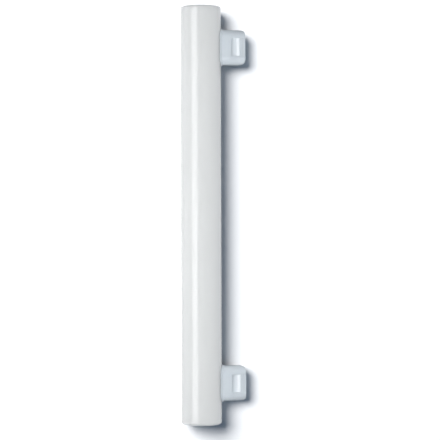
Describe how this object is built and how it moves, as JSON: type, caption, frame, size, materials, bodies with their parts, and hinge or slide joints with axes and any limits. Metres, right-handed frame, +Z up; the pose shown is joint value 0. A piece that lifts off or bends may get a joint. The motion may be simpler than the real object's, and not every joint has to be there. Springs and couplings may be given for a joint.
{
  "type": "tubular light bulb",
  "caption": "Straight opal tube lamp with an oblong side cap near each end, notched on its broad sides to snap into a lamp holder, with a contact in its end.",
  "frame": {"origin": "on the surface the lamp lies on, under the middle of its outline seen from above", "axes": "+Y along the tube towards the upper cap, +X across it on the side of the caps, +Z up"},
  "size_m": [0.0466, 0.3, 0.029],
  "materials": {
    "opal_glass": "opal white, smooth and glossy",
    "cap_plastic": "cool white moulded plastic, satin",
    "contact_metal": "nickel-plated brass",
    "lead_metal": "plated wire"
  },
  "bodies": {
    "root": {"opal_tube": "opal_glass", "upper_cap": "cap_plastic", "lower_cap": "cap_plastic", "upper_contact": "contact_metal", "lower_contact": "contact_metal", "upper_lead_wire": "lead_metal", "lower_lead_wire": "lead_metal"}
  },
  "joints": []
}
